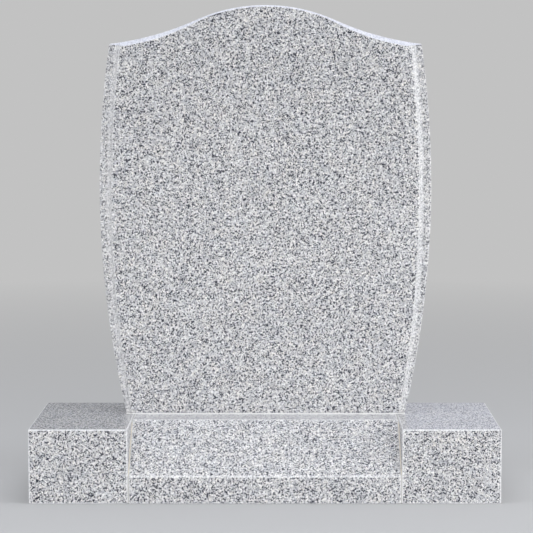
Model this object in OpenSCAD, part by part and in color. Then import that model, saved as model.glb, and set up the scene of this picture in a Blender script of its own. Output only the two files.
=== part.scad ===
// Ogee-topped granite headstone on a three-stone base.
// Millimetres. +Z is up, the polished face looks along -Y,
// and the origin is under the middle of the base.

/* [Tablet] */
// Height of the tablet, from its foot to the crown
tablet_h = 758; // [600:1:900]
// Width of the tablet at its widest
tablet_w = 616; // [580:0.5:680]
// Width of the tablet at its foot
foot_w = 522.5; // [470:0.5:560]
// Height of the widest point above the foot
widest_at = 416.5; // [330:0.5:480]
// Thickness of the tablet, face to back
tablet_t = 76; // [50:1:100]

/* [Ogee top] */
// Radius of the rounded crown
crown_r = 313.5; // [280:0.5:360]
// Radius of the hollows beside it
hollow_r = 558; // [500:1:640]
// Steepest slope of the top, where crown and hollow meet, in degrees
ogee_slope = 23.9; // [21:0.1:26]
// Width of the bevel on the front of the top, at the crown
bevel_crown = 3.5; // [2:0.5:6]
// Width of that bevel in the hollows
bevel_hollow = 8.5; // [7:0.5:12]

/* [Side moulding] */
// Flat margin outside the moulding, at the tablet's widest point
margin_w = 14; // [10:0.5:18]
// That margin at the shoulders
margin_top_w = 12; // [9:0.5:16]
// That margin at the foot
margin_foot_w = 3; // [2:0.5:10]
// Width of the cove between the margin and the face
cove_w = 9; // [5:0.5:14]
// How far the margin is set back from the face
margin_set = 9.5; // [6:0.5:16]
// Width of the eased shoulder between the cove and the face
shoulder_w = 10; // [5:0.5:16]
// How far the shoulder falls where it meets the cove
shoulder_drop = 1.2; // [0.5:0.1:2.5]

/* [Base] */
// Width of the whole base
base_w = 848; // [760:1:960]
// Depth of the base, front to back
base_d = 305; // [290:1:380]
// Height of the base
base_h = 135; // [110:1:180]
// Width of each end block
block_w = 178; // [110:1:200]
// How far the slope runs back from the front
slope_run = 108; // [60:1:120]
// Height of the upright part below the slope
riser_h = 50; // [25:1:80]
// Arris taken off every edge of the base stones
arris = 2.2; // [1:0.1:4]

/* [Setting] */
// Ledge of base left behind the tablet
back_ledge = 60.5; // [30:0.5:90]
// Thickness of the bed under the tablet
bed_t = 2; // [1.5:0.1:5]
// How far the bed stays inside the tablet's foot
bed_inset = 0.6; // [0.4:0.1:3]
// Thickness of the resin joints between the base stones
joint_t = 1.6; // [1:0.1:4]
// How far the resin stays behind the faces of the stones
joint_inset = 1; // [0.5:0.1:3]

/* [Hidden] */

// Past the stone, so that a cut never ends on its face
over = 5;
// Segments along each side, hollow and crown of the outline, and in the cove
side_steps = 24;
hollow_steps = 14;
crown_steps = 24;
cove_steps = 6;
shoulder_steps = 3;

// Where the pieces stand
foot_z = base_h + bed_t;
face_y = base_d / 2 - back_ledge - tablet_t;
centre_w = base_w - 2 * block_w - 2 * joint_t;

// Side arc of the tablet, through the widest point and the foot
side_sag = (tablet_w - foot_w) / 2;
side_r = (pow(widest_at, 2) + pow(side_sag, 2)) / (2 * side_sag);
side_centre = [tablet_w / 2 - side_r, widest_at];

// Ogee: the crown's arc, and the hollows' arcs tangent to it
crown_centre = [0, tablet_h - crown_r];
hollow_centre = crown_centre + (crown_r + hollow_r) * [sin(ogee_slope), cos(ogee_slope)];

// Front edge of the bevel: it keeps its width along the hollows and
// narrows over the crown, so its own crown arc is tighter
edge_hollow_r = hollow_r + bevel_hollow;
edge_rise = hollow_centre.y - (tablet_h - bevel_crown);
edge_crown_r = (pow(hollow_centre.x, 2) + pow(edge_rise, 2) - pow(edge_hollow_r, 2))
               / (2 * (edge_hollow_r - edge_rise));
edge_crown_centre = [0, tablet_h - bevel_crown - edge_crown_r];
edge_slope = asin(hollow_centre.x / (edge_crown_r + edge_hollow_r));

function arc(centre, r, from, to, steps) =
    [for (i = [0:steps]) let (a = from + (to - from) * i / steps)
        centre + r * [cos(a), sin(a)]];
function mirrored(points) =
    [for (i = [len(points) - 1:-1:0]) [-points[i].x, points[i].y]];
function bearing(from, to) = atan2(to.y - from.y, to.x - from.x);

// Where two arcs cross; the crossing to the right of the line from a to b
function crossing(a, ra, b, rb) =
    let (span = norm(b - a),
         along = (pow(ra, 2) - pow(rb, 2) + pow(span, 2)) / (2 * span),
         across = sqrt(pow(ra, 2) - pow(along, 2)),
         way = (b - a) / span)
    a + along * way + across * [way.y, -way.x];

// Centre of the arc through three points
function arc_centre(a, b, c) =
    let (ab = b - a, ac = c - a, twice = 2 * cross(ab, ac),
         nb = ab * ab, nc = ac * ac)
    a + [ac.y * nb - ab.y * nc, ab.x * nc - ac.x * nb] / twice;

shoulder = crossing(side_centre, side_r, hollow_centre, hollow_r);

// Line between margin and cove: one arc, flatter than the tablet's side,
// so that the margin narrows towards the foot
line_widest = [tablet_w / 2 - margin_w, widest_at];
line_centre = arc_centre([foot_w / 2 - margin_foot_w, 0], line_widest,
                         [shoulder.x - margin_top_w, shoulder.y]);
line_r = norm(line_widest - line_centre);

module tablet_outline() {
    right_half = concat(
        arc(side_centre, side_r, -asin(widest_at / side_r),
            bearing(side_centre, shoulder), side_steps),
        [for (i = [1:hollow_steps]) arc(hollow_centre, hollow_r,
            bearing(hollow_centre, shoulder), -90 - ogee_slope, hollow_steps)[i]],
        [for (i = [1:crown_steps / 2]) arc(crown_centre, crown_r,
            90 - ogee_slope, 90, crown_steps / 2)[i]]);
    left_half = mirrored(right_half);
    polygon(concat(right_half, [for (i = [1:len(left_half) - 1]) left_half[i]]));
}

// A profile of [radius, depth behind the face], swung about a point of the face
module swung(centre, from, to, profile)
    translate([centre.x, face_y, foot_z + centre.y])
        rotate([90, 0, 0])
            rotate([0, 0, from])
                rotate_extrude(angle = to - from)
                    polygon([for (p = profile) [p.x, -p.y]]);

// Stone cut away in front of the right-hand margin, cove and eased shoulder
module moulding_cut() {
    sweep = 20;
    cove = [for (i = [0:cove_steps]) let (a = 90 * i / cove_steps)
        [cove_w * sin(a), margin_set - (margin_set - shoulder_drop) * (1 - cos(a))]];
    eased = [for (i = [1:shoulder_steps]) let (t = i / shoulder_steps)
        [cove_w + shoulder_w * t, shoulder_drop * pow(1 - t, 2)]];
    inner = cove_w + shoulder_w;
    outer = -(margin_w + over);
    section = concat([[outer, -over], [outer, margin_set]], cove, eased, [[inner, -over]]);
    swung(line_centre, -sweep, sweep, [for (p = section) [line_r - p.x, p.y]]);
}

// Bevels stand at 45 degrees, so radius and depth grow together
module crown_bevel_cut() {
    deep = bevel_hollow + over;
    far = edge_crown_r + 2 * deep;
    swung(edge_crown_centre, 90 - edge_slope, 90 + edge_slope,
          [[edge_crown_r - over, -over], [edge_crown_r + deep, deep], [far, deep], [far, -over]]);
}

module hollow_bevel_cut() {
    deep = bevel_hollow + over;
    near = edge_hollow_r - 2 * deep;
    swung(hollow_centre, -90 - edge_slope, -90,
          [[edge_hollow_r + over, -over], [edge_hollow_r - deep, deep], [near, deep], [near, -over]]);
}

module headstone() color("silver") {
    difference() {
        translate([0, face_y + tablet_t, foot_z])
            rotate([90, 0, 0])
                linear_extrude(tablet_t) tablet_outline();
        for (side = [0, 1])
            mirror([side, 0, 0]) {
                moulding_cut();
                hollow_bevel_cut();
            }
        crown_bevel_cut();
    }
}

module tablet_bed() color("gainsboro") {
    half_w = foot_w / 2 - bed_inset;
    half_face = half_w - margin_foot_w - cove_w;
    front = face_y + bed_inset;
    back = face_y + tablet_t - bed_inset;
    translate([0, 0, base_h])
        linear_extrude(bed_t)
            polygon([[-half_face, front], [half_face, front],
                     [half_face, front + margin_set], [half_w, front + margin_set],
                     [half_w, back], [-half_w, back],
                     [-half_w, front + margin_set], [-half_face, front + margin_set]]);
}

// A rectangle with its corners cut off by c
module cut_square(w, d, c)
    polygon([[c, 0], [w - c, 0], [w, c], [w, d - c], [w - c, d], [c, d], [0, d - c], [0, c]]);

// A block with an arris on all twelve edges, from one corner
module arrised_block(w, d, h) {
    intersection() {
        linear_extrude(h) cut_square(w, d, arris);
        translate([0, d, 0]) rotate([90, 0, 0]) linear_extrude(d) cut_square(w, h, arris);
        rotate([90, 0, 90]) linear_extrude(w) cut_square(d, h, arris);
    }
}

module base_left_block() color("silver")
    translate([-base_w / 2, -base_d / 2, 0]) arrised_block(block_w, base_d, base_h);

module base_right_block() color("silver")
    translate([base_w / 2 - block_w, -base_d / 2, 0]) arrised_block(block_w, base_d, base_h);

// Corners of the centre stone's side view, with all its faces moved in by an inset
function centre_corners(inset) =
    let (slope = atan2(base_h - riser_h, slope_run),
         nose = inset * tan((90 - slope) / 2),
         brow = inset * tan(slope / 2),
         front = -base_d / 2)
    [[front + inset, inset], [base_d / 2 - inset, inset],
     [base_d / 2 - inset, base_h - inset], [front + slope_run + brow, base_h - inset],
     [front + inset, riser_h - nose]];

// The same outline with c cut off both sides of every corner
function corners_cut(points, c) =
    let (n = len(points))
    [for (i = [0:n - 1], to = [points[(i + n - 1) % n], points[(i + 1) % n]])
        points[i] + c * (to - points[i]) / norm(to - points[i])];

// The centre stone's side view, drawn out to a width about x = 0
module drawn_out(w, points)
    translate([-w / 2, 0, 0]) rotate([90, 0, 90]) linear_extrude(w) polygon(points);

module base_centre_stone() color("silver")
    hull() {
        drawn_out(centre_w, centre_corners(arris));
        drawn_out(centre_w - 2 * arris, corners_cut(centre_corners(0), arris));
    }

module resin_joint(side) color("antiquewhite")
    translate([side * (centre_w + joint_t) / 2, 0, 0])
        drawn_out(joint_t, centre_corners(joint_inset));

module left_resin_joint() resin_joint(-1);
module right_resin_joint() resin_joint(1);

headstone();
tablet_bed();
base_centre_stone();
base_left_block();
base_right_block();
left_resin_joint();
right_resin_joint();
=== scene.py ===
# %% [markdown]
# # Ogee headstone
# A polished granite memorial: a tablet with bowed sides and an ogee top, standing on a base of
# three stones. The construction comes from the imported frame, in metres, with the face towards -Y.
# This lesson dresses each stone with rounded arrises, resin joints and a speckled granite finish.

import math

import bmesh
import bpy
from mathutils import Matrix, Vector


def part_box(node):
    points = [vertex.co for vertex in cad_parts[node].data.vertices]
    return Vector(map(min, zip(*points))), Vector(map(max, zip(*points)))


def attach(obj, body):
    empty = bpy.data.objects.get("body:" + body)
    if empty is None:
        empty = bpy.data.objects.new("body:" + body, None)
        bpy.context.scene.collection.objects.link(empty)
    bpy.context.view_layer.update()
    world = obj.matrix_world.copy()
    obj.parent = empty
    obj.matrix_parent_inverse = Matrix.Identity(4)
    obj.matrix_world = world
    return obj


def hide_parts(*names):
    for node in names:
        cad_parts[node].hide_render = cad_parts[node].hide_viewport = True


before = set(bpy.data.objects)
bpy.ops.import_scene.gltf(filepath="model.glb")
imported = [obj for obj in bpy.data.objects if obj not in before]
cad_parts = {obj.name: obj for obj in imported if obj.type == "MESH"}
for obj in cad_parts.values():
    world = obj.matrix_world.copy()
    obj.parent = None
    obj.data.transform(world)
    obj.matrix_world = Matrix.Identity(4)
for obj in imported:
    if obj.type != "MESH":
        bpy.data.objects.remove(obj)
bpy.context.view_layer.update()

# %% [markdown]
# ## Formulas as nodes
# The tablet's outline is made of arcs, so its mesh can be worked out by a formula instead of being
# drawn by hand. A formula in a node tree is a chain of Math nodes. This small class lets the chain
# be written as ordinary arithmetic: each sum or product adds one node and returns its output.

# %% A number inside a node tree
class Sum:
    """A value that a node tree works out."""

    def __init__(self, socket):
        self.socket = socket

    def math(self, operation, *others, clamp=False):
        tree = self.socket.id_data
        node = tree.nodes.new("ShaderNodeMath")
        node.operation = operation
        node.use_clamp = clamp
        for slot, value in zip(node.inputs, (self, *others)):
            feed(tree, value, slot)
        return Sum(node.outputs[0])

    def __add__(self, other):
        return self.math("ADD", other)

    def __sub__(self, other):
        return self.math("SUBTRACT", other)

    def __rsub__(self, other):
        return self.math("MULTIPLY", -1.0).math("ADD", other)

    def __mul__(self, other):
        return self.math("MULTIPLY", other)

    def __truediv__(self, other):
        return self.math("DIVIDE", other)

    def __lt__(self, other):
        return self.math("LESS_THAN", other)

    def __gt__(self, other):
        return self.math("GREATER_THAN", other)

    __radd__ = __add__
    __rmul__ = __mul__


def feed(tree, value, slot):
    """Link a node's output to a socket, or set the socket to a plain number."""
    if isinstance(value, Sum):
        tree.links.new(value.socket, slot)
    else:
        slot.default_value = value


def root(value):
    return value.math("MAXIMUM", 0.0).math("SQRT")


def choose(test, yes, no):
    """yes where test is 1, no where it is 0."""
    return no + test * (yes - no)


print("formula helper ready")

# %% [markdown]
# ## Sizes of the tablet
# The outline has five arcs: a side on each edge, a hollow at each shoulder, and the crown. A
# moulding runs down each front edge, and a bevel along the front of the top. Where a side meets a
# hollow the corner is rounded a little. The overall sizes are read from the frame, and the radii
# are the mason's own, which a drawing of the stone would give.

# %% Tablet sizes, in metres
MM = 0.001
low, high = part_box("headstone")
foot_z = low.z
face_y = low.y
tablet_h = high.z - low.z
tablet_t = high.y - low.y
tablet_w = 616 * MM
foot_w = 522.5 * MM
widest_at = 416.5 * MM
crown_r = 313.5 * MM
hollow_r = 558 * MM
ogee_slope = math.radians(23.9)
bevel_crown = 3 * MM
bevel_hollow = 8.2 * MM
margins = {"foot": 3 * MM, "widest": 14 * MM, "shoulder": 12 * MM}
cove_w = 9 * MM
margin_set = 9.5 * MM
shoulder_w = 10 * MM
shoulder_drop = 1.2 * MM
arris = 1.3 * MM
corner_r = 3 * MM
print(f"tablet {tablet_w:.3f} wide, {tablet_h:.3f} high, {tablet_t:.3f} thick")


# %% The arcs' centres, worked out from the sizes
def centre_through(a, b, c):
    """Centre of the circle through three points."""
    ab, ac = b - a, c - a
    twice = 2 * ab.cross(ac)
    return a + Vector((ac.y * ab.dot(ab) - ab.y * ac.dot(ac),
                       ab.x * ac.dot(ac) - ac.x * ab.dot(ab))) / twice


side_sag = (tablet_w - foot_w) / 2
side_r = (widest_at**2 + side_sag**2) / (2 * side_sag)
side_c = Vector((tablet_w / 2 - side_r, widest_at))
crown_c = Vector((0, tablet_h - crown_r))
reach = crown_r + hollow_r
hollow_c = crown_c + reach * Vector((math.sin(ogee_slope), math.cos(ogee_slope)))

# The shoulder: where the side arc meets the hollow's arc
span = hollow_c - side_c
along = (side_r**2 - hollow_r**2 + span.length_squared) / (2 * span.length)
across = math.sqrt(side_r**2 - along**2)
way = span.normalized()
shoulder = side_c + along * way + across * Vector((way.y, -way.x))
# Centre of the small round at that corner
corner_x = side_c.x + math.sqrt(side_r**2 - (shoulder.y - corner_r - side_c.y)**2) - corner_r

line_c = centre_through(Vector((foot_w / 2 - margins["foot"], 0)),
                        Vector((tablet_w / 2 - margins["widest"], widest_at)),
                        Vector((shoulder.x - margins["shoulder"], shoulder.y)))
line_r = (Vector((tablet_w / 2 - margins["widest"], widest_at)) - line_c).length
print(f"side radius {side_r:.3f}, shoulder at {shoulder.x:.3f}, {shoulder.y:.3f}")

# %% [markdown]
# ## The moulding's template
# A mason cuts the moulding to a zinc template: a flat margin, a cove that climbs steeply, a small
# rounded arris and an eased shoulder that dies into the face. The template here is a line of
# points, each one its distance in from the margin, its depth behind the face, and how far it is
# ground and painted paler instead of polished, a painted sheen for the light that the margin,
# cove and arris catch. The tree reads it by number, so it serves both sides. The top's bevel has a
# template too, of shares of its width, because it is wider in the hollows.

# %% Templates for the moulding and for the top's bevel
def template(name, points, closed=False):
    mesh = bpy.data.meshes.new(name)
    steps = [(i, i + 1) for i in range(len(points) - 1)]
    if closed:
        steps.append((len(points) - 1, 0))
    mesh.from_pydata(points, steps, [])
    return bpy.data.objects.new(name, mesh)


def swing(count):
    """Angles from 0 to 90 degrees in count steps."""
    return [math.pi / 2 * i / count for i in range(count + 1)]


# How far each surface is ground and painted paler, partly a ground finish and partly a painted
# sheen: 0 is polished, 1 is fully ground
GROUND_SHEEN_MARGIN, GROUND_SHEEN_COVE, GROUND_SHEEN_BEVEL = 0.12, 0.39, 0.72
GROUND_SHEEN_SIDE_ARRIS, GROUND_SHEEN_TOP_ARRIS = 0.3, 0.6
cove_end, cove_top = cove_w - arris, shoulder_drop + arris
cove = [(cove_end * math.sin(a), cove_top + (margin_set - cove_top) * math.cos(a), GROUND_SHEEN_COVE)
        for a in swing(8)]
lip = [(cove_w - arris * math.cos(a), cove_top - arris * math.sin(a), GROUND_SHEEN_COVE)
       for a in swing(3)[1:]]
eased = [(cove_w + shoulder_w * t, shoulder_drop * (1 - t) ** 2, 0)
         for t in (0.08, 0.2, 0.4, 0.6, 0.8, 1)]
moulding_points = [(-1 * MM, margin_set, GROUND_SHEEN_MARGIN)] + cove + lip + eased
moulding_template = template("moulding_template", moulding_points)

# Rows down from the top: share of the way across the bevel, distance below its edge, and how far it
# is ground and painted paler as a painted sheen
bevel_points = [(share, 0, GROUND_SHEEN_BEVEL) for share in (0, 0.33, 0.67, 0.94)]
bevel_points += [(1, 0.1 * MM, 0), (1, 0.6 * MM, 0), (1, 1.8 * MM, 0), (1, 4.5 * MM, 0)]
bevel_template = template("bevel_template", bevel_points)
print(f"moulding template {len(moulding_points)} points, bevel template {len(bevel_points)}")

# %% [markdown]
# ## The tablet's tree
# The front is a grid laid over the outline. Columns near the edge follow the moulding and the rest
# spread evenly; rows near the top follow the bevel. Seven rings extruded from its rim make the
# arris, the side and the back arris, and a second grid closes the back. One formula then places
# every point from three numbers: its column, its row and its ring.

# %% Start a tree with named inputs
def start_tree(name, numbers, others):
    """A new tree whose inputs are plain numbers, then objects and materials."""
    group = bpy.data.node_groups.new(name, "GeometryNodeTree")
    group.interface.new_socket("Geometry", in_out="OUTPUT", socket_type="NodeSocketGeometry")
    identifiers = {}
    for label in numbers:
        item = group.interface.new_socket(label, in_out="INPUT", socket_type="NodeSocketFloat")
        item.default_value = numbers[label]
        identifiers[label] = item.identifier
    for label, kind in others.items():
        item = group.interface.new_socket(label, in_out="INPUT", socket_type=kind)
        identifiers[label] = item.identifier
    sockets = group.nodes.new("NodeGroupInput").outputs
    return group, identifiers, {label: Sum(socket) for label, socket in zip(identifiers, sockets)}


EDGE_COLUMNS = 3
COLUMNS = 2 * (EDGE_COLUMNS + len(moulding_points)) + 61
ROWS = len(bevel_points) + 56
RINGS = 7
FRONT_RINGS = 3

sizes = {
    "Height": tablet_h, "Thickness": tablet_t, "Arris": arris,
    "Side radius": side_r, "Side centre X": side_c.x, "Side centre Z": side_c.y,
    "Crown radius": crown_r, "Hollow radius": hollow_r,
    "Hollow centre X": hollow_c.x, "Hollow centre Z": hollow_c.y, "Slope": ogee_slope,
    "Bevel at crown": bevel_crown, "Bevel in hollow": bevel_hollow,
    "Corner radius": corner_r, "Corner X": corner_x, "Shoulder X": shoulder.x,
    "Line radius": line_r, "Line centre X": line_c.x, "Line centre Z": line_c.y,
    "Foot Z": foot_z, "Face Y": face_y,
}
tree, socket_of, size = start_tree("ogee_tablet", sizes, {
    "Moulding": "NodeSocketObject", "Bevel": "NodeSocketObject", "Granite": "NodeSocketMaterial"})
print(f"{len(size)} named inputs")


# %% Small helpers that add one node each
def node(kind, inputs=None, **settings):
    made = tree.nodes.new(kind)
    for name, value in settings.items():
        setattr(made, name, value)
    for name, value in (inputs or {}).items():
        if isinstance(value, bpy.types.NodeSocket):
            tree.links.new(value, made.inputs[name])
        else:
            feed(tree, value, made.inputs[name])
    return made


def remember(geometry, name, value, selection=True):
    """Store a number on every selected point."""
    made = node("GeometryNodeStoreNamedAttribute", data_type="FLOAT", domain="POINT",
                inputs={"Geometry": geometry, "Name": name, "Selection": selection})
    feed(tree, value, made.inputs["Value"])
    return made.outputs["Geometry"]


def recall(name):
    made = node("GeometryNodeInputNamedAttribute", data_type="FLOAT", inputs={"Name": name})
    return Sum(made.outputs["Attribute"])


def read_template(template_name, number):
    """The three numbers of a template's point."""
    shape = node("GeometryNodeObjectInfo", inputs={"Object": size[template_name]})
    place = node("GeometryNodeInputPosition")
    sample = node("GeometryNodeSampleIndex", data_type="FLOAT_VECTOR", clamp=True, inputs={
        "Geometry": shape.outputs["Geometry"], "Value": place.outputs["Position"],
        "Index": number})
    parts = node("ShaderNodeSeparateXYZ", inputs={"Vector": sample.outputs["Value"]})
    return [Sum(parts.outputs[axis]) for axis in "XYZ"]


# %% The grid, its rings and its back
grid = node("GeometryNodeMeshGrid", inputs={
    "Size X": float(COLUMNS - 1), "Size Y": float(ROWS - 1),
    "Vertices X": COLUMNS, "Vertices Y": ROWS})
position = node("GeometryNodeInputPosition")
flat = node("ShaderNodeSeparateXYZ", inputs={"Vector": position.outputs["Position"]})
geometry = remember(grid.outputs["Mesh"], "column",
                    (Sum(flat.outputs["X"]) + (COLUMNS - 1) / 2).math("ROUND"))
geometry = remember(geometry, "row", (Sum(flat.outputs["Y"]) + (ROWS - 1) / 2).math("ROUND"))
front = remember(geometry, "ring", 0.0)
back = remember(geometry, "ring", float(RINGS))

neighbours = node("GeometryNodeInputMeshEdgeNeighbors")
rim = node("FunctionNodeCompare", data_type="INT", operation="EQUAL")
tree.links.new(neighbours.outputs["Face Count"], rim.inputs[2])
rim.inputs[3].default_value = 1
edge_of_ring = rim.outputs["Result"]
for ring in range(1, RINGS + 1):
    grown = node("GeometryNodeExtrudeMesh", mode="EDGES", inputs={
        "Mesh": front, "Selection": edge_of_ring, "Offset Scale": 0.0})
    edge_of_ring = grown.outputs["Top"]
    front = remember(grown.outputs["Mesh"], "ring", float(ring), edge_of_ring)
print(f"{COLUMNS} columns, {ROWS} rows, {RINGS} rings")

# %% [markdown]
# ## Where each point goes
# A point's place across depends on its height, because the sides bow, and its height depends on
# its place across, because the top is an ogee. Both slopes are gentle, so going back and forth
# between the two formulas a few times settles on the answer.

# %% Numbers that follow from column, row and ring
column, row, ring = recall("column"), recall("row"), recall("ring")
middle = (COLUMNS - 1) / 2
from_side = middle - (column - middle).math("ABSOLUTE")
from_top = (ROWS - 1) - row
side = (column - middle).math("SIGN")
on_top = from_top < 0.5

last_moulding = len(moulding_points) - 1
last_bevel = len(bevel_points) - 1
in_template = from_side - 1 - EDGE_COLUMNS
inward, moulding_depth, moulding_ground_sheen = read_template(
    "Moulding", in_template.math("MAXIMUM", 0.0))
bevel_share, below_edge, bevel_ground_sheen = read_template("Bevel", from_top)
spread = ((in_template - last_moulding)
          / (middle - 1 - EDGE_COLUMNS - last_moulding)).math("MAXIMUM", 0.0)
climb = (row / (ROWS - 1 - last_bevel)).math("MINIMUM", 1.0)


def ogee(x, inset):
    """Height of the top at x, moved in by an inset."""
    crown = size["Height"] - size["Crown radius"] + root(
        (size["Crown radius"] - inset).math("POWER", 2.0) - x * x)
    from_centre = size["Hollow centre X"] - x
    hollow = size["Hollow centre Z"] - root(
        (size["Hollow radius"] + inset).math("POWER", 2.0) - from_centre * from_centre)
    return choose(x < (size["Crown radius"] - inset) * size["Slope"].math("SINE"), crown, hollow)


def corner_drop(x, inset):
    """How far the small round at the shoulder pulls the top down."""
    radius = size["Corner radius"] - inset
    across = ((x - size["Corner X"]) / radius).math("ADD", 0.0, clamp=True)
    return radius * (1 - root(1 - across * across))


WIDENS_FROM, WIDENS_OVER = 90 * MM, 125 * MM
DIES_PAST_SHOULDER, DYING_SLOPE = 2.3 * MM, 0.27


def bevel_at(x):
    """Width of the bevel: narrow over the crown, wide in the hollow, dying out at the corner."""
    rise = ((x - WIDENS_FROM) / WIDENS_OVER).math("ADD", 0.0, clamp=True)
    wide = (size["Bevel in hollow"] - size["Bevel at crown"]) * rise * rise * (3 - rise * 2)
    dying = (size["Shoulder X"] + DIES_PAST_SHOULDER - x) * DYING_SLOPE
    return (size["Bevel at crown"] + wide).math("MINIMUM", dying)


def side_at(z, inset):
    rise = z - size["Side centre Z"]
    return size["Side centre X"] + root((size["Side radius"] - inset).math("POWER", 2.0)
                                        - rise * rise)


def line_at(z):
    rise = z - size["Line centre Z"]
    return size["Line centre X"] + root(size["Line radius"].math("POWER", 2.0) - rise * rise)


# %% Angle of the arris at each ring, and how far in it puts the point
QUARTER = math.pi / 2
front_turn = (ring / FRONT_RINGS).math("MINIMUM", 1.0)
back_turn = ((ring - FRONT_RINGS - 1) / (RINGS - FRONT_RINGS - 1)).math("MAXIMUM", 0.0)
start_angle = on_top * (QUARTER / 2)
top_angle = start_angle + (QUARTER - start_angle) * front_turn + back_turn * QUARTER
side_angle = front_turn * QUARTER + back_turn * QUARTER


def inset_of(angle):
    return size["Arris"] * (1 - angle.math("SINE"))


# %% Settle each point's x and z
z = size["Height"] * 0.5
side_inset, top_inset = inset_of(side_angle), inset_of(top_angle) * on_top
# The first columns crowd against the arris and take a quarter of the margin
across_margin = (from_side / EDGE_COLUMNS).math("POWER", 2.0) * 0.25
SETTLING_ROUNDS = 5
for _ in range(SETTLING_ROUNDS):
    at_edge = side_at(z, side_inset)
    in_margin = at_edge + (line_at(z) - at_edge) * across_margin
    x = choose(in_template < -0.5, in_margin, (line_at(z) - inward) * (1 - spread))
    highest = ogee(x, top_inset)
    near_top = highest + (ogee(x, bevel_at(x)) - highest) * bevel_share - below_edge
    near_top = near_top - corner_drop(x, side_inset)
    z = side_inset + (near_top - side_inset) * climb
print(f"{len(tree.nodes)} nodes so far")

# %% [markdown]
# ## How deep each point lies
# The bevel is a 45 degree plane, so it is as deep as it is wide, and on the margin it starts from
# the margin's own depth. The rings carry on from there round the arris to the back. The points are
# also marked with how far they are ground, because the grinding wheel can't polish a cove as the
# flat polishing head does a face, and the finish reads that mark. The same mark paints them paler,
# a painted sheen for the light that the cove, bevel and arris catch.

# %% Depth behind the face
bevel_w = bevel_at(x)
front_depth = moulding_depth + (bevel_w - top_inset) * (1 - bevel_share)
side_start = moulding_depth + choose(
    on_top, bevel_w + size["Arris"] * math.tan(QUARTER / 4), size["Arris"])
angle = choose(on_top, top_angle, side_angle)
arris_depth = side_start - size["Arris"] * angle.math("COSINE")
back_depth = size["Thickness"] - size["Arris"] * (1 + angle.math("COSINE"))
depth = choose(ring < 0.5, front_depth,
               choose(ring < FRONT_RINGS + 0.5, arris_depth, back_depth))

# %% How far each point is ground and painted paler as a painted sheen
is_arris = (ring > 0.5) * (ring < FRONT_RINGS - 0.5)
arris_ground_sheen = choose(on_top, GROUND_SHEEN_TOP_ARRIS, GROUND_SHEEN_SIDE_ARRIS)
side_part = moulding_ground_sheen * (ring < 0.5) + is_arris * arris_ground_sheen
ground = side_part.math("MAXIMUM", bevel_ground_sheen * (ring < 0.5))

# %% Put the points in place, close the back and finish the tree
spot = node("ShaderNodeCombineXYZ", inputs={
    "X": side * x, "Y": size["Face Y"] + depth, "Z": size["Foot Z"] + z})
turned = node("GeometryNodeFlipFaces", inputs={"Mesh": back})
joined = node("GeometryNodeJoinGeometry")
tree.links.new(turned.outputs["Mesh"], joined.inputs["Geometry"])
tree.links.new(front, joined.inputs["Geometry"])
marked = remember(joined.outputs["Geometry"], "ground", ground)
placed = node("GeometryNodeSetPosition", inputs={
    "Geometry": marked, "Position": spot.outputs["Vector"]})
welded = node("GeometryNodeMergeByDistance", inputs={
    "Geometry": placed.outputs["Geometry"], "Distance": 0.01 * MM})
smooth = node("GeometryNodeSetShadeSmooth", inputs={"Geometry": welded.outputs["Geometry"]})
real = node("GeometryNodeRealizeInstances", inputs={"Geometry": smooth.outputs["Geometry"]})
coated = node("GeometryNodeSetMaterial", inputs={
    "Geometry": real.outputs["Geometry"], "Material": size["Granite"]})
node("NodeGroupOutput", inputs={"Geometry": coated.outputs["Geometry"]})
print(f"tablet tree has {len(tree.nodes)} nodes")

# %% [markdown]
# ## Polished speckled granite
# The stone is a light grey granite: white and cream feldspar, clear grey quartz, and black mica
# that gathers in short crooked chains. A noise texture alone looks like sand, so the grains are
# Voronoi cells, which have the straight-sided look of crystals. The cells are solid 3D patterns in
# Object coordinates, so they run through the stone and match round every edge. Polish keeps the
# deep contrast of the grains, and grinding covers it with fine white scratches. One pattern mixed
# with a pale, slightly blue colour gives every finish on the stone, and that pale colour is also a
# painted sheen: it stands in for the light and sky that the bevels, coves, arrises, seat and inner
# ends catch.

# %% The granite's node group
def shade_node(owner, kind, inputs=None, **settings):
    made = owner.nodes.new(kind)
    for name, value in settings.items():
        setattr(made, name, value)
    for name, value in (inputs or {}).items():
        if isinstance(value, bpy.types.NodeSocket):
            owner.links.new(value, made.inputs[name])
        else:
            feed(owner, value, made.inputs[name])
    return made


def crystals(owner, vector, grain, feature="F1", **inputs):
    """Voronoi cells about one grain wide, in metres."""
    return shade_node(owner, "ShaderNodeTexVoronoi", voronoi_dimensions="3D", feature=feature,
                      inputs={"Vector": vector, "Scale": 1 / grain, **inputs})


def cloud(owner, vector, width, detail=2.0):
    made = shade_node(owner, "ShaderNodeTexNoise", noise_dimensions="3D",
                      inputs={"Vector": vector, "Scale": 1 / width, "Detail": detail})
    return Sum(made.outputs["Fac"])


def first_random(owner, voronoi):
    parts = shade_node(owner, "ShaderNodeSeparateColor", inputs={"Color": voronoi.outputs["Color"]})
    return Sum(parts.outputs["Red"]), Sum(parts.outputs["Green"])


def ramp(owner, value, stops, interpolation="LINEAR"):
    made = shade_node(owner, "ShaderNodeValToRGB")
    feed(owner, value, made.inputs["Fac"])
    made.color_ramp.interpolation = interpolation
    elements = made.color_ramp.elements
    while len(elements) < len(stops):
        elements.new(0.5)
    for element, (place, colour) in zip(elements, stops):
        element.position = place
        element.color = (*colour, 1)
    return made.outputs["Color"]


def between(value, low_end, high_end):
    """0 below low_end, 1 above high_end, and a straight rise between."""
    return ((value - low_end) / (high_end - low_end)).math("ADD", 0.0, clamp=True)


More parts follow.
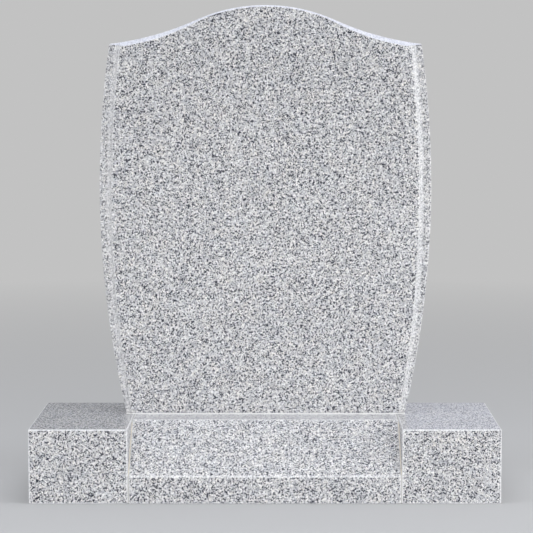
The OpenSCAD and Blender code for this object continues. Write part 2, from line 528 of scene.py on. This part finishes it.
def blend(owner, factor, a, b, mode="MIX"):
    made = shade_node(owner, "ShaderNodeMix", data_type="RGBA", blend_type=mode)
    feed(owner, factor, made.inputs[0])
    for slot, colour in ((made.inputs[6], a), (made.inputs[7], b)):
        if isinstance(colour, bpy.types.NodeSocket):
            owner.links.new(colour, slot)
        else:
            slot.default_value = (*colour, 1)
    return made.outputs[2]


# %% Grains, mica chains and flecks
WHITE = (0.64, 0.635, 0.632)
CREAM = (0.65, 0.637, 0.618)
PALE = (0.54, 0.539, 0.552)
QUARTZ = (0.41, 0.413, 0.436)
MICA = (0.02, 0.023, 0.04)


def granite_pattern():
    group = bpy.data.node_groups.new("speckled_granite", "ShaderNodeTree")
    group.interface.new_socket("Vector", in_out="INPUT", socket_type="NodeSocketVector")
    group.interface.new_socket("Color", in_out="OUTPUT", socket_type="NodeSocketColor")
    group.interface.new_socket("Mica", in_out="OUTPUT", socket_type="NodeSocketFloat")
    source = group.nodes.new("NodeGroupInput").outputs["Vector"]
    wobble = shade_node(group, "ShaderNodeTexNoise", noise_dimensions="3D",
                        inputs={"Vector": source, "Scale": 420.0, "Detail": 1.0})
    shift = shade_node(group, "ShaderNodeVectorMath", operation="MULTIPLY_ADD")
    group.links.new(wobble.outputs["Color"], shift.inputs[0])
    shift.inputs[1].default_value = (0.8 * MM,) * 3
    group.links.new(source, shift.inputs[2])
    place = shift.outputs["Vector"]

    kind, shade = first_random(group, crystals(group, place, 3.2 * MM))
    body = ramp(group, kind, [(0, QUARTZ), (0.25, PALE), (0.55, WHITE), (0.9, CREAM)], "CONSTANT")
    small, _ = first_random(group, crystals(group, place, 1.9 * MM))
    tone = shade * 0.12 + small * 0.68 + 0.71
    warm = (cloud(group, source, 28 * MM) - 0.5) * 0.06
    body = blend(group, 1.0, body, shade_node(group, "ShaderNodeCombineColor", inputs={
        "Red": tone + warm, "Green": tone, "Blue": tone - warm}).outputs["Color"], "MULTIPLY")

    borders = crystals(group, place, 4.2 * MM, "DISTANCE_TO_EDGE")
    chain = 1 - between(Sum(borders.outputs["Distance"]), 0.11, 0.15)
    gaps = between(cloud(group, source, 3.0 * MM, 1.0), 0.54, 0.57)
    flecks = crystals(group, place, 2.5 * MM, Randomness=0.85)
    fleck_kind, _ = first_random(group, flecks)
    dot = 1 - between(Sum(flecks.outputs["Distance"]), 0.6, 0.7)
    mica = (chain * gaps).math("MAXIMUM", dot * (fleck_kind > 0.88))
    colour = blend(group, mica, body, MICA)

    end = group.nodes.new("NodeGroupOutput")
    group.links.new(colour, end.inputs["Color"])
    group.links.new(mica.socket, end.inputs["Mica"])
    return group


GRANITE = granite_pattern()
print(f"granite group has {len(GRANITE.nodes)} nodes")


# %% One granite for each stone, polished, or ground and painted paler as a painted sheen
# Painted sheen colours: near white where a surface catches light, and a cold blue-white that stands
# in for sky reflected in a bevel
RUBBED_SHEEN = (0.93, 0.93, 0.94)
GROUND_BLUE_SHEEN = (0.73, 0.75, 0.84)


def ground_sheen_colour(owner, amount):
    """The pale mix colour, part ground finish and part painted sheen: nearly white where rubbed,
    and colder, a painted sky reflection, where coarsely ground.
    """
    if isinstance(amount, Sum):
        return blend(owner, between(amount, 0.62, 0.7), RUBBED_SHEEN, GROUND_BLUE_SHEEN)
    share = min(max((amount - 0.62) / 0.08, 0), 1)
    return tuple(a + (b - a) * share for a, b in zip(RUBBED_SHEEN, GROUND_BLUE_SHEEN))


def granite(name, offset, turn, ground=0.0, dull=0.5):
    """A stone's own piece of the quarry: the pattern is moved and turned for each.

    A ground surface is duller than a polished one, because its scratches scatter light, and it is
    painted paler, a painted sheen for the light it catches. The fourth argument is how far it is
    ground and painted paler, or the name of the attribute that says so; dull is how much roughness
    a fully ground surface gains.
    """
    material = bpy.data.materials.new(name)
    material.use_nodes = True
    owner = material.node_tree
    shader = owner.nodes["Principled BSDF"]
    where = shade_node(owner, "ShaderNodeTexCoord").outputs["Object"]
    moved = shade_node(owner, "ShaderNodeMapping", inputs={"Vector": where})
    moved.inputs["Location"].default_value = offset
    moved.inputs["Rotation"].default_value = turn
    pattern = shade_node(owner, "ShaderNodeGroup", node_tree=GRANITE,
                         inputs={"Vector": moved.outputs["Vector"]})
    amount = ground
    if isinstance(ground, str):
        amount = Sum(shade_node(owner, "ShaderNodeAttribute",
                                attribute_name=ground).outputs["Fac"])
    # Painted sheen: the grains are mixed toward the pale colour as far as the surface is ground
    colour = blend(owner, amount, pattern.outputs["Color"], ground_sheen_colour(owner, amount))
    owner.links.new(colour, shader.inputs["Base Color"])
    rough = Sum(pattern.outputs["Mica"]) * 0.1 + (amount * dull + 0.12)
    owner.links.new(rough.socket, shader.inputs["Roughness"])
    shader.inputs["IOR"].default_value = 1.54
    return material


TABLET_GRANITE = granite("tablet_granite", (0.0, 0.0, 0.0), (0.3, 0.2, 0.1), ground="ground")
BASE_GRANITE = {}
# Painted light: each stone's arris copy is mixed toward white as a painted highlight, and its honed
# copy is painted paler where the tablet and blocks shade the seat and inner ends
for stone, offset, turn, rubbed_sheen, honed_sheen in (
        ("centre", (1.3, 0.4, 2.1), (0.5, 1.1, 0.3), 0.38, {"ground": 0.26, "dull": 0.05}),
        ("left", (2.7, 1.9, 0.6), (1.2, 0.4, 0.9), 0.63, {"ground": 0.1, "dull": 3.0}),
        ("right", (3.1, 0.8, 1.4), (0.2, 0.9, 1.5), 0.61, {"ground": 0.1, "dull": 3.0})):
    BASE_GRANITE[stone] = [granite(stone + "_granite", offset, turn),
                           granite(stone + "_arris", offset, turn, ground=rubbed_sheen),
                           granite(stone + "_honed_sheen", offset, turn, **honed_sheen)]
print("granites", ["tablet", *BASE_GRANITE])


# %% Run the tree and keep the result as a plain mesh
def plain(worker, name):
    """The evaluated mesh of an object, as a new object without modifiers."""
    evaluated = worker.evaluated_get(bpy.context.evaluated_depsgraph_get())
    mesh = bpy.data.meshes.new_from_object(evaluated, preserve_all_data_layers=True,
                                           depsgraph=bpy.context.evaluated_depsgraph_get())
    mesh.name = name
    bpy.data.objects.remove(worker)
    made = bpy.data.objects.new(name, mesh)
    bpy.context.scene.collection.objects.link(made)
    return made


def even_normals(worker):
    """Large flat faces keep their own direction, so only the arrises look round."""
    weighted = worker.modifiers.new("even_normals", "WEIGHTED_NORMAL")
    weighted.weight = 100
    weighted.keep_sharp = True


def run_tree(name, group, identifiers, values):
    """An object with the tree on it; each input is set by its socket's identifier."""
    made = bpy.data.objects.new(name, bpy.data.meshes.new(name))
    bpy.context.scene.collection.objects.link(made)
    modifier = made.modifiers.new(group.name, "NODES")
    modifier.node_group = group
    for label, value in values.items():
        modifier[identifiers[label]] = value
    return made


worker = run_tree("tablet_worker", tree, socket_of, {
    **sizes, "Moulding": moulding_template, "Bevel": bevel_template, "Granite": TABLET_GRANITE})
even_normals(worker)
tablet = plain(worker, "granite_tablet")
for used in (moulding_template, bevel_template):
    bpy.data.objects.remove(used)
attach(tablet, "root")
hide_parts("headstone")
print(f"tablet: {len(tablet.data.polygons)} faces")


# %% [markdown]
# ## The stones of the base
# Each base stone is sawn to a side view and then arrised, which means that every edge is rubbed
# to a small round so that it doesn't chip. A plain prism with a Bevel modifier does the same job,
# and weighted normals keep the polished faces flat. The arrises are painted paler, a painted
# highlight for the bright lines they catch. The seat under the tablet and the inner ends of the
# blocks are only honed, a step short of polished, so they have a duller material, and it is painted
# paler too, as painted light on faces that the tablet and the blocks shade.

# %% Sawn and arrised stones
base_arris = 2.2 * MM


def sawn_stone(name, node_name, side_view, finishes, seat=None, honed_sheen_end=None):
    """A prism as wide as the CAD node, from its side view of [y, z] points.

    The faces are polished, and the arrises ground and painted paler as a painted highlight. A seat
    is the number of a honed face painted paler as painted light, and the last argument is 0 for
    such a left end or 1 for such a right end.
    """
    lowest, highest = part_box(node_name)
    mesh = bpy.data.meshes.new(name)
    shape = bmesh.new()
    ends = [[shape.verts.new((x, y, z)) for y, z in side_view] for x in (lowest.x, highest.x)]
    count = len(side_view)
    for i in range(count):
        j = (i + 1) % count
        sawn = shape.faces.new((ends[0][i], ends[0][j], ends[1][j], ends[1][i]))
        sawn.material_index = 2 if i == seat else 0
    end_faces = shape.faces.new(ends[0]), shape.faces.new(reversed(ends[1]))
    if honed_sheen_end is not None:
        end_faces[honed_sheen_end].material_index = 2
    bmesh.ops.recalc_face_normals(shape, faces=shape.faces)
    for face in shape.faces:
        face.smooth = True
    shape.to_mesh(mesh)
    shape.free()
    for finish in finishes:
        mesh.materials.append(finish)
    maker = bpy.data.objects.new(name + "_worker", mesh)
    bpy.context.scene.collection.objects.link(maker)
    rub = maker.modifiers.new("arris", "BEVEL")
    rub.width = base_arris
    rub.segments = 4
    # The arris faces take the paler arris material, a painted highlight
    rub.material = 1
    rub.limit_method = "ANGLE"
    rub.angle_limit = math.radians(20)
    even_normals(maker)
    stone = plain(maker, name)
    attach(stone, "root")
    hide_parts(node_name)
    return stone


low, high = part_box("base_centre_stone")
slope_run = 108 * MM
riser_h = 50 * MM
centre_view = [(low.y, low.z), (low.y, riser_h), (low.y + slope_run, high.z),
               (high.y, high.z), (high.y, low.z)]
block_view = [(low.y, low.z), (low.y, high.z), (high.y, high.z), (high.y, low.z)]
base = [sawn_stone("sloping_stone", "base_centre_stone", centre_view, BASE_GRANITE["centre"],
                   seat=2),
        sawn_stone("left_end_block", "base_left_block", block_view, BASE_GRANITE["left"],
                   honed_sheen_end=1),
        sawn_stone("right_end_block", "base_right_block", block_view, BASE_GRANITE["right"],
                   honed_sheen_end=0)]
print("base:", [(stone.name, len(stone.data.polygons)) for stone in base])

# %% [markdown]
# ## Resin joints and setting bed
# Cream resin fills the narrow joints between the base stones, and the tablet stands on a thin pale
# bed. The CAD nodes have the right shape for both, so they stay and get a finish. The resin is
# greyer on the riser and the flat top than on the slope.

# %% Resin and mortar
base_top = high.z


def matt_filler(name, colour, roughness, speck, riser_and_top_colour=None):
    """A fine-grained filler: faint mottling, a dull surface and a little grit.

    speck is how much darker the mottling is, and the last argument is the colour on the riser and
    the flat top.
    """
    material = bpy.data.materials.new(name)
    material.use_nodes = True
    owner = material.node_tree
    shader = owner.nodes["Principled BSDF"]
    where = shade_node(owner, "ShaderNodeTexCoord").outputs["Object"]
    mottle = between(cloud(owner, where, 9 * MM, 4.0), 0.3, 0.7)
    darker = tuple(c * (1 - speck) for c in colour)
    mottled = blend(owner, mottle, darker, colour)
    if riser_and_top_colour:
        place = shade_node(owner, "ShaderNodeSeparateXYZ", inputs={"Vector": where})
        level = Sum(place.outputs["Z"])
        above_riser = between(level, riser_h, riser_h + 4 * MM)
        below_top = 1 - between(level, base_top - 7 * MM, base_top - 2 * MM)
        on_slope = above_riser * below_top
        mottled = blend(owner, on_slope, riser_and_top_colour, mottled)
    owner.links.new(mottled, shader.inputs["Base Color"])
    bump = shade_node(owner, "ShaderNodeBump", inputs={"Strength": 0.25, "Distance": 0.2 * MM})
    owner.links.new(cloud(owner, where, 1.2 * MM, 3.0).socket, bump.inputs["Height"])
    owner.links.new(bump.outputs["Normal"], shader.inputs["Normal"])
    shader.inputs["Roughness"].default_value = roughness
    return material


RESIN = matt_filler("cream_resin", (0.80, 0.75, 0.66), 0.45, 0.12, riser_and_top_colour=(0.56, 0.553, 0.54))
MORTAR = matt_filler("pale_mortar", (0.90, 0.90, 0.89), 0.7, 0.06)
for name, filler in (("left_resin_joint", RESIN), ("right_resin_joint", RESIN),
                     ("tablet_bed", MORTAR)):
    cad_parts[name].data.materials.clear()
    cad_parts[name].data.materials.append(filler)
print("fillers on", [n.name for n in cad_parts.values() if not n.hide_render])

# %% [markdown]
# ## Tooled beads
# The fixer draws a rounded tool along the resin and along the compound under the tablet, and that
# leaves a small bead. A bead follows a path, so one short tree makes all three: it rounds the
# path's corners and sweeps a circle along it.

# %% The bead's tree
tree, socket_of, size = start_tree("tooled_bead", {"Radius": 1 * MM}, {
    "Path": "NodeSocketObject", "Filler": "NodeSocketMaterial"})
way_points = node("GeometryNodeObjectInfo", inputs={"Object": size["Path"]})
way_line = node("GeometryNodeMeshToCurve", inputs={"Mesh": way_points.outputs["Geometry"]})
way_round = node("GeometryNodeFilletCurve", mode="POLY", inputs={
    "Curve": way_line.outputs["Curve"], "Radius": size["Radius"] * 1.2, "Count": 3})
round_tool = node("GeometryNodeCurvePrimitiveCircle", inputs={
    "Resolution": 12, "Radius": size["Radius"]})
swept = node("GeometryNodeCurveToMesh", inputs={
    "Curve": way_round.outputs["Curve"], "Profile Curve": round_tool.outputs["Curve"],
    "Fill Caps": True})
smooth = node("GeometryNodeSetShadeSmooth", inputs={"Geometry": swept.outputs["Mesh"]})
real = node("GeometryNodeRealizeInstances", inputs={"Geometry": smooth.outputs["Geometry"]})
coated = node("GeometryNodeSetMaterial", inputs={
    "Geometry": real.outputs["Geometry"], "Material": size["Filler"]})
node("NodeGroupOutput", inputs={"Geometry": coated.outputs["Geometry"]})


# %% Run a bead along each path
def bead(name, points, radius, filler, closed=False):
    path = template(name + "_path", points, closed)
    made = plain(run_tree(name + "_worker", tree, socket_of, {
        "Radius": radius, "Path": path, "Filler": filler}), name)
    bpy.data.objects.remove(path)
    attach(made, "root")
    return made


low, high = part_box("tablet_bed")
bed_r = (high.z - low.z) / 2
bead_in = 0.6 * MM
x, front, back = high.x - bead_in, low.y + bead_in, high.y - bead_in
mid = low.z + bed_r
beads = [bead("foot_bead", [(-x, front, mid), (x, front, mid), (x, back, mid), (-x, back, mid)],
              bed_r, MORTAR, closed=True)]

low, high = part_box("base_centre_stone")
joint_r = 1.6 * MM
off_ground = 1 * MM
sunk = joint_r + 0.1 * MM
slope = math.atan2(high.z - riser_h, slope_run)
nose, brow = sunk * math.tan((math.pi / 2 - slope) / 2), sunk * math.tan(slope / 2)
joint_view = [(low.y + sunk, off_ground), (low.y + sunk, riser_h - nose),
              (low.y + slope_run + brow, high.z - sunk), (high.y - sunk, high.z - sunk),
              (high.y - sunk, off_ground)]
for side_name in ("left", "right"):
    near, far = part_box(side_name + "_resin_joint")
    mid = (near.x + far.x) / 2
    beads.append(bead(side_name + "_resin_bead", [(mid, y, z) for y, z in joint_view],
                      joint_r, RESIN))
print("beads:", [(made.name, len(made.data.polygons)) for made in beads])

# %% [markdown]
# ## Floor, light and camera
# The stone stands on a wide pale floor in a pale surround. Rays that reach the camera or a polished
# face see the surround's own colour, and the rest see a slightly cooler sky light, so the light
# and the background can be set apart. Soft lamps stand in front and above, with the right one
# stronger, so that the hollows and bevels read. Polished tops mirror what stands behind them, so
# two cards that only a reflection sees, a dark and a light one, show how glossy the stone is. A low
# lamp close to the floor lifts the base, as light from pale paving would.

# %% Floor and surround
SURROUND = (0.54, 0.54, 0.54)
FLOOR = (0.54, 0.54, 0.54)
SKY = (0.59, 0.60, 0.62)
# The floor fades into the surround between these distances, in metres
FADE_FROM, FADE_TO = 0.9, 4.0


def surround_seen(owner):
    """1 for rays that show the background: camera, gloss and glass."""
    path = shade_node(owner, "ShaderNodeLightPath")
    seen = Sum(path.outputs["Is Camera Ray"])
    for ray in ("Is Glossy Ray", "Is Transmission Ray"):
        seen = seen.math("MAXIMUM", Sum(path.outputs[ray]))
    return seen


def wide_card(name, left, right, low, high, y, colour):
    """An upright card behind the stone that only a polished surface sees."""
    mesh = bpy.data.meshes.new(name)
    mesh.from_pydata([(left, y, low), (right, y, low), (right, y, high), (left, y, high)],
                     [], [(0, 1, 2, 3)])
    material = bpy.data.materials.new(name)
    material.use_nodes = True
    shader = material.node_tree.nodes["Principled BSDF"]
    shader.inputs["Base Color"].default_value = (0, 0, 0, 1)
    shader.inputs["Specular IOR Level"].default_value = 0
    shader.inputs["Emission Color"].default_value = (*colour, 1)
    shader.inputs["Emission Strength"].default_value = 1
    mesh.materials.append(material)
    card = bpy.data.objects.new(name, mesh)
    bpy.context.scene.collection.objects.link(card)
    card.visible_camera = card.visible_diffuse = card.visible_shadow = False


def pale_floor():
    mesh = bpy.data.meshes.new("floor")
    sides = 96
    radius = 40.0
    rim_points = [(radius * math.cos(2 * math.pi * i / sides),
                   radius * math.sin(2 * math.pi * i / sides), 0) for i in range(sides)]
    mesh.from_pydata(rim_points, [], [tuple(range(sides))])
    material = bpy.data.materials.new("pale_floor")
    material.use_nodes = True
    owner = material.node_tree
    shader = owner.nodes["Principled BSDF"]
    shader.inputs["Base Color"].default_value = (*FLOOR, 1)
    shader.inputs["Roughness"].default_value = 0.9
    where = shade_node(owner, "ShaderNodeTexCoord").outputs["Object"]
    away = shade_node(owner, "ShaderNodeVectorMath", operation="LENGTH", inputs={"Vector": where})
    far = between(Sum(away.outputs["Value"]), FADE_FROM, FADE_TO)
    glow = shade_node(owner, "ShaderNodeEmission")
    glow.inputs["Color"].default_value = (*SURROUND, 1)
    mixed = shade_node(owner, "ShaderNodeMixShader")
    owner.links.new(far.socket, mixed.inputs[0])
    owner.links.new(shader.outputs["BSDF"], mixed.inputs[1])
    owner.links.new(glow.outputs["Emission"], mixed.inputs[2])
    owner.links.new(mixed.outputs["Shader"], owner.nodes["Material Output"].inputs["Surface"])
    mesh.materials.append(material)
    floor = bpy.data.objects.new("floor", mesh)
    bpy.context.scene.collection.objects.link(floor)


pale_floor()
wide_card("dark_card", -7, -0.1, 1.0, 5.0, 8.0, (0.29, 0.30, 0.32))
wide_card("light_card", 0.1, 7, 1.0, 5.0, 8.0, (0.63, 0.65, 0.74))
world = bpy.data.worlds.new("surround")
bpy.context.scene.world = world
world.use_nodes = True
air = world.node_tree
backdrop = air.nodes["Background"]
air.links.new(blend(air, surround_seen(air), SKY, SURROUND), backdrop.inputs["Color"])
print("surround", SURROUND, "floor", FLOOR)


# %% Lamps
def softbox(name, place, turn, width, height, radiance, colour=(1, 1, 1), shows=True,
            spread=180):
    """A rectangular lamp whose surface is radiance times as bright as a white card.

    shows says whether it is seen in the polish, and spread is the angle its light keeps to.
    """
    data = bpy.data.lights.new(name, "AREA")
    data.shape = "RECTANGLE"
    data.size, data.size_y = width, height
    data.energy = radiance * width * height * math.pi
    data.color = colour
    data.spread = math.radians(spread)
    lamp = bpy.data.objects.new(name, data)
    bpy.context.scene.collection.objects.link(lamp)
    lamp.location = place
    lamp.rotation_euler = turn
    lamp.visible_camera = False
    lamp.visible_glossy = shows


MIDDLE_OF_STONE = 0.45


def standing_softbox(name, azimuth, distance, height, size, radiance):
    """A softbox on a stand, aimed at the stone: azimuth 0 is in front of it, 90 to its right."""
    angle = math.radians(azimuth)
    place = (distance * math.sin(angle), -distance * math.cos(angle), height)
    tip = math.atan2(height - MIDDLE_OF_STONE, distance)
    softbox(name, place, (math.pi / 2 - tip, 0, angle), *size, radiance)


softbox("overhead", (0, -0.6, 3.0), (-0.16, 0, 0), 2.8, 0.9, 4.0, (0.93, 0.96, 1.03))
standing_softbox("right_front", 40, 4.0, 0.55, (2.2, 1.5), 2.6)
standing_softbox("left_front", -38, 4.0, 0.55, (2.0, 1.5), 1.72)
standing_softbox("right_rim", 80, 3.0, 0.9, (1.8, 1.8), 2.6)
standing_softbox("left_rim", -100, 3.0, 0.9, (1.8, 1.8), 0.7)
softbox("low_card", (0, -2.2, 0.3), (math.radians(80), 0, 0), 1.6, 0.3, 1.35, shows=False,
        spread=70)

# %% Camera
base_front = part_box("base_left_block")[0].y
camera_aside, camera_away, camera_up = 29.6 * MM, 3.568, 756 * MM
looking_down = 5.253
camera_data = bpy.data.cameras.new("camera")
camera_data.sensor_width = 36.0
camera_data.lens = 136.35
camera_data.clip_end = 200
camera = bpy.data.objects.new("camera", camera_data)
bpy.context.scene.collection.objects.link(camera)
camera.location = (camera_aside, base_front - camera_away, camera_up)
camera.rotation_euler = (math.radians(90 - looking_down), 0, 0)
camera_data.shift_x = -0.028
bpy.context.scene.camera = camera
bpy.context.scene.view_settings.view_transform = "Standard"
